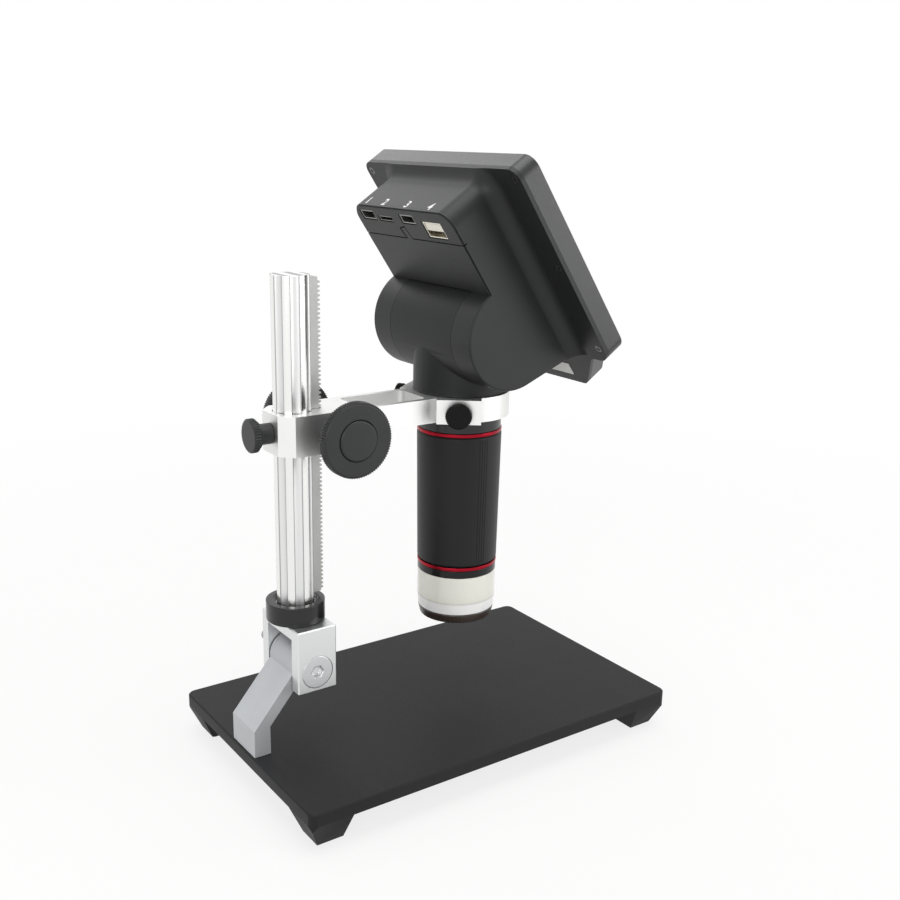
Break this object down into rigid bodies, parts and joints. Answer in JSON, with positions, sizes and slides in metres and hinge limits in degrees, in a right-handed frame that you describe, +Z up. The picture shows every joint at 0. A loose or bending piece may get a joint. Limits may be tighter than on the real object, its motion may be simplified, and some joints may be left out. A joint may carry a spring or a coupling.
{
  "type": "lcd digital microscope",
  "caption": "Bench microscope: a tilting screen head on a camera tube, clamped in the ring of a rack-driven arm on a fluted column that leans on a bracket over a footed base.",
  "frame": {"origin": "centre of the base on the surface it stands on", "axes": "+X from the column towards the base's front edge, under the screen; +Y to the left of someone who faces +X; +Z up"},
  "size_m": [0.2, 0.128, 0.2774],
  "materials": {
    "tray_black": "satin powder coat",
    "pad_rubber": "matte",
    "bracket_silver": "bead blasted",
    "block_silver": "machined, satin",
    "pivot_silver": "turned",
    "screw_steel": "satin",
    "column_alu": "polished",
    "rack_steel": "milled",
    "collar_black": "gloss",
    "arm_alu": "satin anodised",
    "bush_brass": "turned",
    "shaft_steel": "ground",
    "knob_black": "satin, knurled rim",
    "thumb_black": "black oxide, knurled",
    "tube_black": "satin anodised",
    "trim_red": "anodised",
    "sleeve_rubber": "matte",
    "band_black": "gloss",
    "diffuser_clear": "frosted",
    "nose_dark": "satin",
    "board_green": "solder mask",
    "led_white": "clear",
    "lens_glass": "coated",
    "ribbon_white": "smooth",
    "shell_black": "fine texture",
    "frame_black": "satin",
    "port_metal": "plated",
    "lcd_black": "gloss",
    "screen_glass": "polished",
    "screw_black": "black zinc",
    "label_white": "paper",
    "button_grey": "satin"
  },
  "bodies": {
    "base": {"base_tray": "tray_black", "foot_pads": "pad_rubber", "bracket_arm": "bracket_silver", "bracket_screws": "screw_steel"},
    "post": {"knuckle_block": "block_silver", "pivot_bolt": "pivot_silver", "pivot_nut": "pivot_silver", "pivot_washers": "screw_steel", "knuckle_set_screw": "screw_steel", "column": "column_alu", "column_screw": "screw_steel", "rack": "rack_steel"},
    "collar": {"collar_nut": "collar_black"},
    "carriage": {"carriage_arm": "arm_alu", "pinion_bushes": "bush_brass"},
    "drive": {"pinion_shaft": "shaft_steel", "focus_knob_right": "knob_black", "focus_knob_left": "knob_black", "knob_caps": "knob_black"},
    "column_lock": {"lock_screw": "thumb_black"},
    "right_clamp": {"ring_screw_right": "thumb_black"},
    "left_clamp": {"ring_screw_left": "thumb_black"},
    "scope": {"scope_tube": "tube_black", "upper_trim_ring": "trim_red", "lower_trim_ring": "trim_red", "lower_band": "band_black", "diffuser": "diffuser_clear", "nose_ring": "nose_dark", "led_board": "board_green", "led_chips": "led_white", "camera_board": "board_green", "camera_ribbon": "ribbon_white", "neck_tee": "shell_black"},
    "sleeve": {"focus_sleeve": "sleeve_rubber"},
    "lens": {"lens_carrier": "tube_black", "lens_cell": "tube_black", "lens_elements": "lens_glass"},
    "head": {"rear_shell": "shell_black", "port_panel": "shell_black", "left_port": "port_metal", "card_slot": "port_metal", "middle_port": "port_metal", "wide_port": "port_metal", "port_board": "board_green", "main_board": "board_green", "front_frame": "frame_black", "lcd_panel": "lcd_black", "screen_glass": "screen_glass", "key_board": "board_green", "shell_screws": "screw_black", "rear_label": "label_white", "tilt_axle": "shaft_steel", "tilt_washers": "shaft_steel"},
    "key_1": {"button_1": "button_grey"},
    "key_2": {"button_2": "button_grey"},
    "key_3": {"button_3": "button_grey"},
    "key_4": {"button_4": "button_grey"},
    "key_5": {"button_5": "button_grey"}
  },
  "joints": [
    {"name": "post_tilt", "type": "hinge", "parent": "base", "child": "post", "pos_m": [-0.071, 0, 0.0558], "axis": [0, 1, 0], "range_deg": [-30, 12]},
    {"name": "collar_turn", "type": "hinge", "parent": "post", "child": "collar", "pos_m": [-0.0724, 0, 0.08], "axis": [0, 0, 1], "range_deg": [-180, 180]},
    {"name": "height", "type": "slide", "parent": "post", "child": "carriage", "axis": [0, 0, 1], "range_m": [-0.038, 0.055]},
    {"name": "pinion_turn", "type": "hinge", "parent": "carriage", "child": "drive", "pos_m": [-0.05652, 0, 0.1613], "axis": [0, 1, 0], "range_deg": [-880, 610]},
    {"name": "lock_turn", "type": "hinge", "parent": "carriage", "child": "column_lock", "pos_m": [-0.0828, 0, 0.1619], "axis": [1, 0, 0], "range_deg": [-180, 180]},
    {"name": "right_clamp_turn", "type": "hinge", "parent": "carriage", "child": "right_clamp", "pos_m": [-0.00044, -0.02114, 0.1643], "axis": [-0.5948, -0.8039, 0], "range_deg": [-180, 180]},
    {"name": "left_clamp_turn", "type": "hinge", "parent": "carriage", "child": "left_clamp", "pos_m": [-0.00044, 0.02114, 0.1643], "axis": [-0.5948, 0.8039, 0], "range_deg": [-180, 180]},
    {"name": "scope_turn", "type": "hinge", "parent": "carriage", "child": "scope", "pos_m": [0.0152, 0, 0.165], "axis": [0, 0, 1], "range_deg": [-90, 90]},
    {"name": "focus_turn", "type": "hinge", "parent": "scope", "child": "sleeve", "pos_m": [0.0152, 0, 0.12], "axis": [0, 0, 1], "range_deg": [-120, 120]},
    {"name": "lens_slide", "type": "slide", "parent": "scope", "child": "lens", "axis": [0, 0, 1], "range_m": [-0.0031, 0.0031]},
    {"name": "screen_tilt", "type": "hinge", "parent": "scope", "child": "head", "pos_m": [0.0152, 0, 0.1997], "axis": [0, 1, 0], "range_deg": [-45, 25]},
    {"name": "key_1_press", "type": "slide", "parent": "head", "child": "key_1", "axis": [-0.8251, 0, -0.565], "range_m": [0, 0.0005], "stiffness_N_per_m": 800},
    {"name": "key_2_press", "type": "slide", "parent": "head", "child": "key_2", "axis": [-0.8251, 0, -0.565], "range_m": [0, 0.0005], "stiffness_N_per_m": 800},
    {"name": "key_3_press", "type": "slide", "parent": "head", "child": "key_3", "axis": [-0.8251, 0, -0.565], "range_m": [0, 0.0005], "stiffness_N_per_m": 800},
    {"name": "key_4_press", "type": "slide", "parent": "head", "child": "key_4", "axis": [-0.8251, 0, -0.565], "range_m": [0, 0.0005], "stiffness_N_per_m": 800},
    {"name": "key_5_press", "type": "slide", "parent": "head", "child": "key_5", "axis": [-0.8251, 0, -0.565], "range_m": [0, 0.0005], "stiffness_N_per_m": 800}
  ],
  "couplings": [
    {"joint": "pinion_turn", "follows": "height", "rad_per_m": -277.78},
    {"joint": "lens_slide", "follows": "focus_turn", "m_per_rad": 0.0014324}
  ]
}
